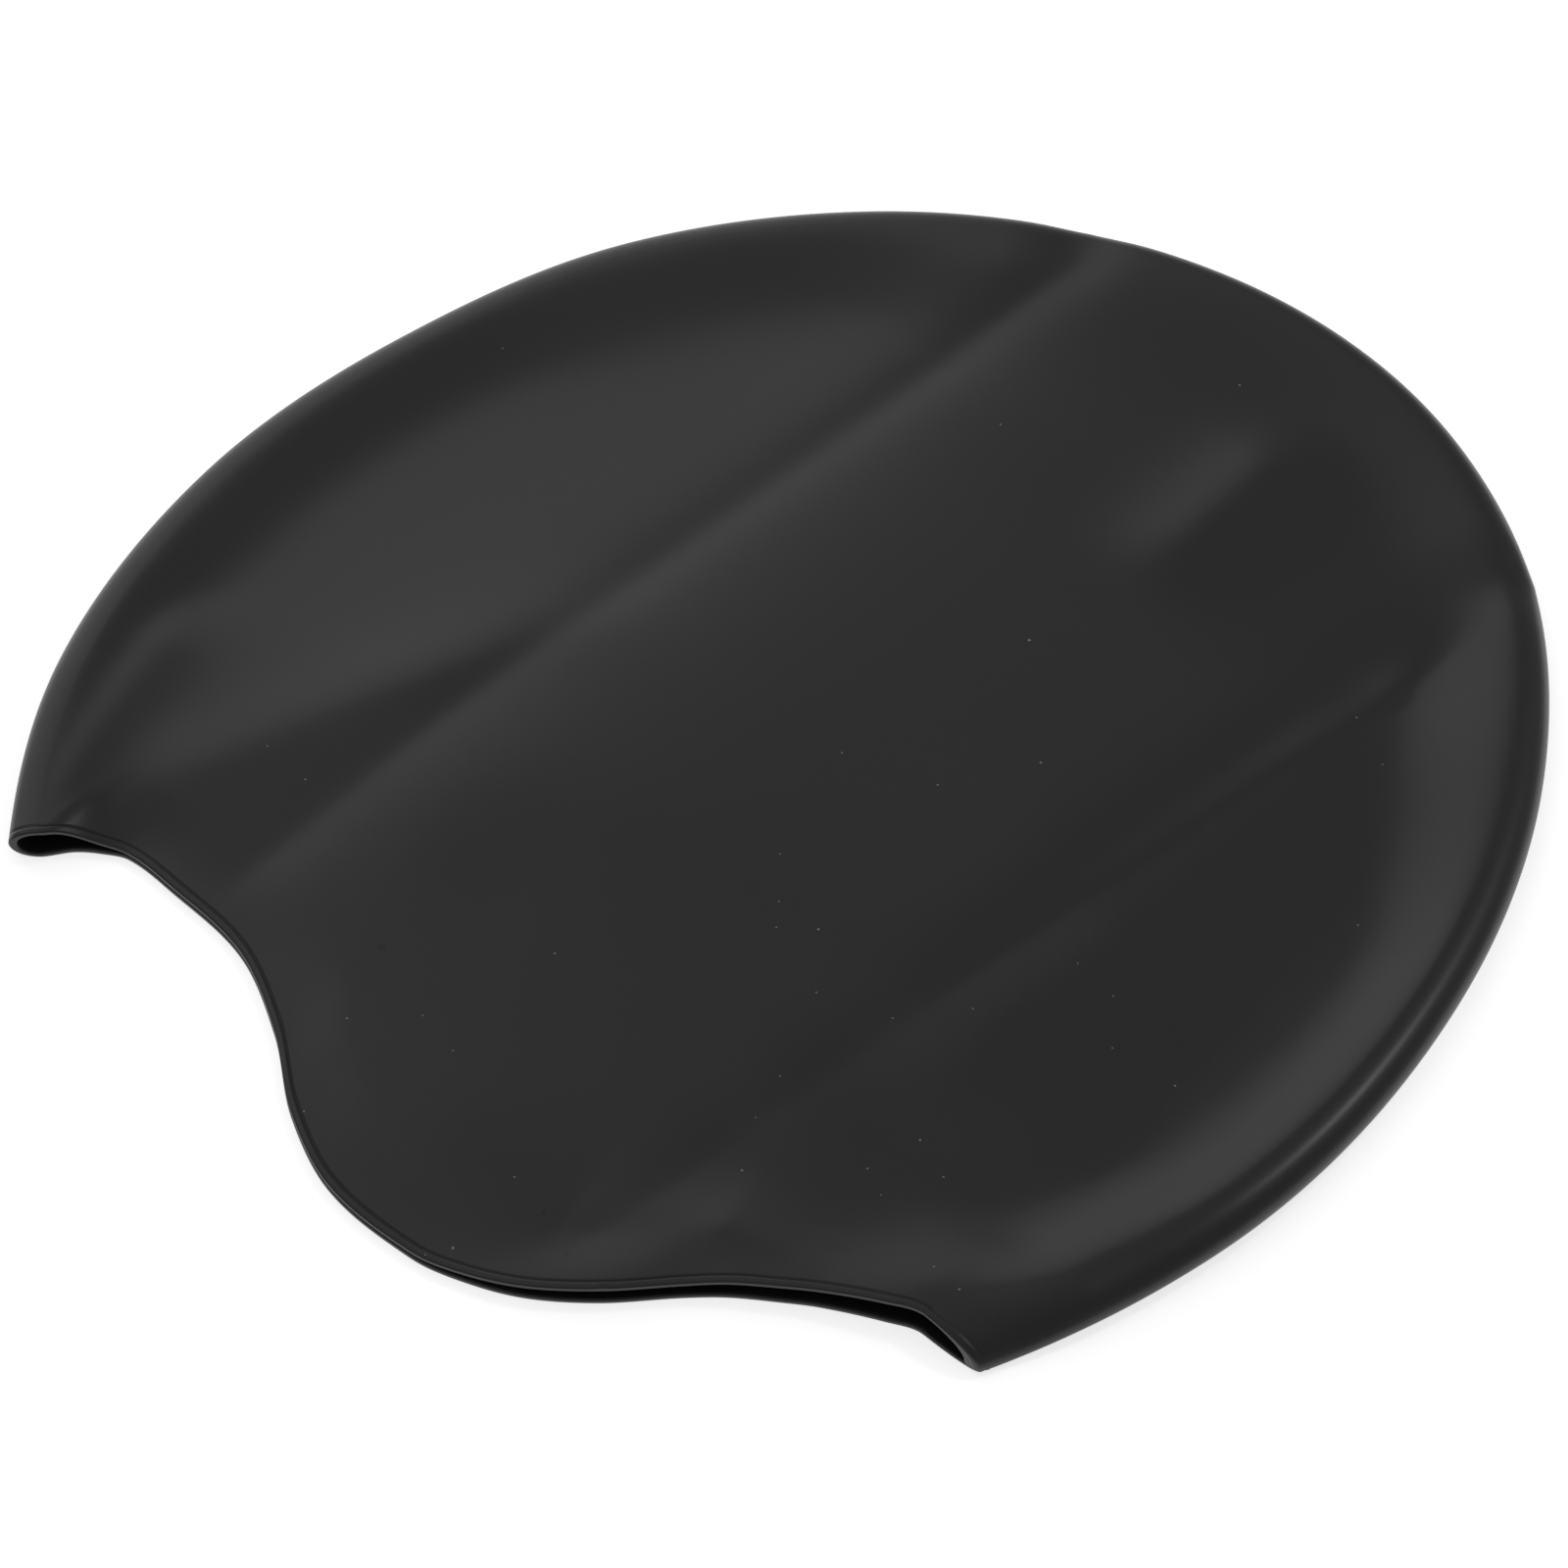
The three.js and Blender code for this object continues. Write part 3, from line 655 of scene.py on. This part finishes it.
def make_camera(shift):
    """The camera at the photo's viewing angle."""
    scene = bpy.context.scene
    lift = math.radians(CAMERA_ELEVATION)
    turn = math.radians(CAMERA_AZIMUTH)
    back = Vector((math.sin(turn) * math.cos(lift), -math.cos(turn) * math.cos(lift), math.sin(lift)))
    aim = Vector(shift + CAMERA_AIM) * MM
    camera = bpy.data.objects.new("camera", bpy.data.cameras.new("camera"))
    camera.data.lens = CAMERA_LENS
    camera.data.sensor_width = SENSOR_WIDTH
    camera.data.sensor_fit = "HORIZONTAL"
    camera.data.clip_start = CAMERA_NEAR * MM
    camera.location = aim + back * CAMERA_DISTANCE * MM
    camera.rotation_euler = (-back).to_track_quat("-Z", "Y").to_euler()
    scene.collection.objects.link(camera)
    scene.camera = camera


def make_light(name, turn, lift, distance, width, height, power):
    """A soft rectangle of light aimed at the cap's middle."""
    turn = math.radians(turn)
    lift = math.radians(lift)
    direction = Vector((math.cos(lift) * math.cos(turn), math.cos(lift) * math.sin(turn), math.sin(lift)))
    light = bpy.data.lights.new(name, "AREA")
    light.shape = "RECTANGLE"
    light.size = width
    light.size_y = height
    light.energy = power
    lamp = bpy.data.objects.new(name, light)
    lamp.location = direction * distance
    lamp.rotation_euler = (-direction).to_track_quat("-Z", "Y").to_euler()
    bpy.context.scene.collection.objects.link(lamp)


def make_stage():
    """The pale floor under the cap."""
    material = bpy.data.materials.new("pale_floor")
    material.use_nodes = True
    shader = material.node_tree.nodes["Principled BSDF"]
    shader.inputs["Base Color"].default_value = FLOOR_TONE
    shader.inputs["Roughness"].default_value = FLOOR_ROUGHNESS
    shader.inputs["Emission Color"].default_value = WHITE
    shader.inputs["Emission Strength"].default_value = FLOOR_GLOW
    corners = FLOOR_HALF * np.array([(-1, -1, 0), (1, -1, 0), (1, 1, 0), (-1, 1, 0)])
    floor = make_object("floor", corners, [(0, 1, 2, 3)], material)


def make_lights():
    """The even surround and the soft lights."""
    scene = bpy.context.scene
    scene.view_settings.view_transform = "Standard"
    world = bpy.data.worlds.new("studio")
    scene.world = world
    world.use_nodes = True
    sky = world.node_tree.nodes["Background"]
    sky.inputs["Color"].default_value = WHITE
    sky.inputs["Strength"].default_value = SURROUND_STRENGTH
    for name, row in LIGHTS.items():
        make_light(name, *row)


points, faces = shell_mesh()
shift = plan_shift(points)
make_camera(shift)
make_stage()
make_lights()
make_cap(points, faces, shift)
